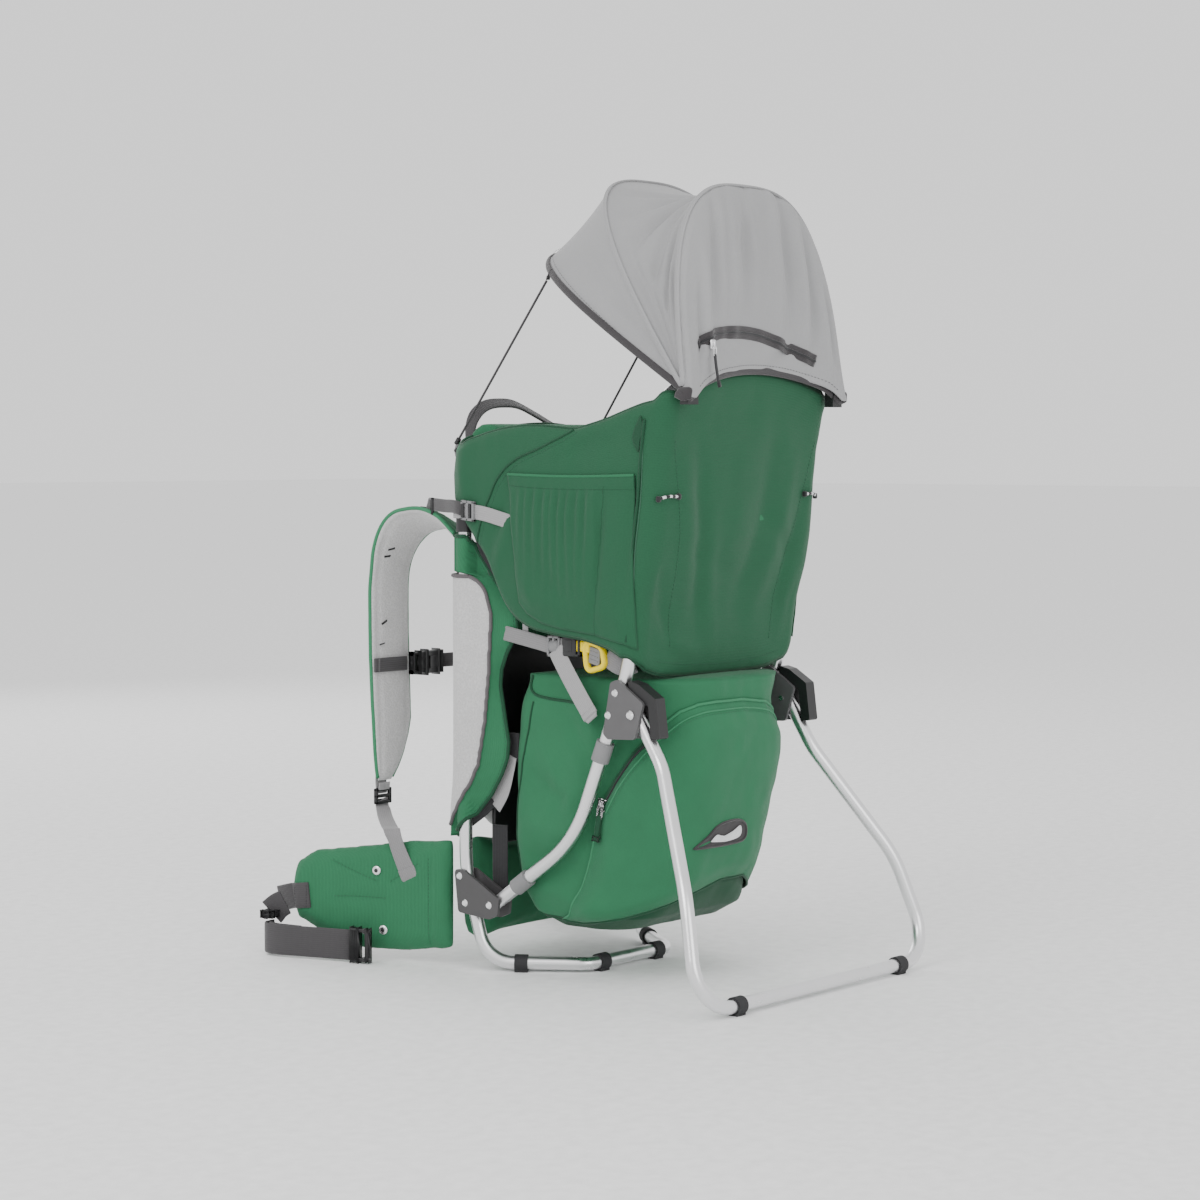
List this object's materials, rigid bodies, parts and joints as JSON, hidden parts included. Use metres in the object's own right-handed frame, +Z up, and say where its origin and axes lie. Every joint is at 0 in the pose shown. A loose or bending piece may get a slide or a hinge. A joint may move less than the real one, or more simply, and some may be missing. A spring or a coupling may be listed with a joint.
{
  "type": "child carrier backpack",
  "caption": "Framed backpack that carries a small child: tubular frame with a folding kickstand, harnessed cabin, sun canopy, padded shoulder straps, hip fins and a storage bag.",
  "frame": {"origin": "on the floor under the middle of the footprint", "axes": "+Z up, +Y rearward, away from the wearer's back, +X towards the wearer's left"},
  "size_m": [0.4904, 0.7026, 0.9532],
  "materials": {
    "aluminium_tube": "satin",
    "bracket_metal": "satin",
    "rivet_steel": "polished",
    "black_plastic": "matte",
    "grey_plastic": "matte",
    "yellow_plastic": "semi-gloss",
    "foot_rubber": "matte",
    "bow_rod": "satin",
    "green_fabric": "ripstop weave",
    "mesh_fabric": "spacer mesh",
    "canopy_fabric": "fine plain weave",
    "seat_fabric": "plain weave",
    "grey_webbing": "woven webbing",
    "handle_webbing": "woven webbing",
    "elastic_cord": "braided",
    "zip_metal": "polished"
  },
  "bodies": {
    "frame": {"back_pad_left": "mesh_fabric", "back_pad_right": "mesh_fabric", "back_plate": "black_plastic", "back_side_panels": "green_fabric", "bow_sockets": "black_plastic", "cabin_shell": "green_fabric", "canopy_back_panel": "canopy_fabric", "canopy_roof_panel": "canopy_fabric", "child_harness_buckle": "black_plastic", "child_harness_straps": "grey_webbing", "chin_pad": "green_fabric", "cord_hooks": "black_plastic", "crossbar_saddles": "black_plastic", "elastic_cord_left": "elastic_cord", "elastic_cord_right": "elastic_cord", "frame_rivets": "rivet_steel", "front_crossbar": "aluminium_tube", "front_foot_pads": "foot_rubber", "front_frame_tube": "aluminium_tube", "front_wall_pad": "green_fabric", "grab_handle": "handle_webbing", "headrest_pad": "green_fabric", "hinge_covers": "black_plastic", "kickstand_pins": "rivet_steel", "load_adjuster_webbing": "grey_webbing", "lower_brackets": "bracket_metal", "lower_pack": "green_fabric", "lumbar_pad": "green_fabric", "rear_bow": "bow_rod", "rear_frame_tube": "aluminium_tube", "rear_pocket": "green_fabric", "shoulder_strap_left": "mesh_fabric", "shoulder_strap_right": "mesh_fabric", "side_entry_sockets": "black_plastic", "side_entry_straps": "grey_webbing", "sternum_socket": "black_plastic", "sternum_webbing": "grey_webbing", "strap_buckles": "grey_plastic", "strap_webbing_left": "grey_webbing", "strap_webbing_right": "grey_webbing", "tube_sleeves": "grey_plastic", "upper_brackets": "bracket_metal"},
    "kickstand": {"kickstand_tube": "aluminium_tube", "kickstand_foot_pads": "foot_rubber"},
    "visor": {"front_bow": "bow_rod", "visor_panel": "canopy_fabric", "cord_anchors": "black_plastic"},
    "hip_left": {"hip_fin_left": "green_fabric", "hip_webbing_left": "grey_webbing", "hip_buckle_left": "black_plastic"},
    "hip_right": {"hip_fin_right": "green_fabric", "hip_webbing_right": "grey_webbing", "hip_buckle_right": "black_plastic"},
    "child_seat": {"seat_pad": "seat_fabric", "seat_lift_strap": "grey_webbing"},
    "sternum_tongue": {"sternum_tongue": "black_plastic"},
    "entry_tongue_left": {"side_entry_tongue_left": "yellow_plastic"},
    "entry_tongue_right": {"side_entry_tongue_right": "yellow_plastic"},
    "pocket_slider": {"pocket_zip_slider": "zip_metal"},
    "canopy_slider": {"canopy_zip_slider": "zip_metal"}
  },
  "joints": [
    {"name": "kickstand_fold", "type": "hinge", "parent": "frame", "child": "kickstand", "pos_m": [0, 0.1851, 0.326], "axis": [1, 0, 0], "range_deg": [-38, 0]},
    {"name": "visor_fold", "type": "hinge", "parent": "frame", "child": "visor", "pos_m": [0, 0.2561, 0.697], "axis": [1, 0, 0], "range_deg": [-24, 0], "deforming": ["canopy_roof_panel", "elastic_cord_left", "elastic_cord_right"]},
    {"name": "hip_left_fold", "type": "hinge", "parent": "frame", "child": "hip_left", "pos_m": [0.152, -0.0909, 0.09], "axis": [0, 0, 1], "range_deg": [-38, 6], "deforming": ["strap_webbing_left"]},
    {"name": "hip_right_fold", "type": "hinge", "parent": "frame", "child": "hip_right", "pos_m": [-0.152, -0.0909, 0.09], "axis": [0, 0, -1], "range_deg": [-38, 6], "deforming": ["strap_webbing_right"]},
    {"name": "seat_height", "type": "slide", "parent": "frame", "child": "child_seat", "axis": [0, 0, 1], "range_m": [0, 0.06]},
    {"name": "sternum_release", "type": "slide", "parent": "frame", "child": "sternum_tongue", "axis": [1, 0, 0], "range_m": [0, 0.022]},
    {"name": "entry_left_release", "type": "slide", "parent": "frame", "child": "entry_tongue_left", "axis": [0, 1, 0], "range_m": [0, 0.016]},
    {"name": "entry_right_release", "type": "slide", "parent": "frame", "child": "entry_tongue_right", "axis": [0, 1, 0], "range_m": [0, 0.016]},
    {"name": "pocket_zip", "type": "slide", "parent": "frame", "child": "pocket_slider", "axis": [-0.03, 0.5, 0.8655], "range_m": [0, 0.05]},
    {"name": "canopy_zip", "type": "slide", "parent": "frame", "child": "canopy_slider", "axis": [-1, 0, 0], "range_m": [0, 0.2]}
  ]
}
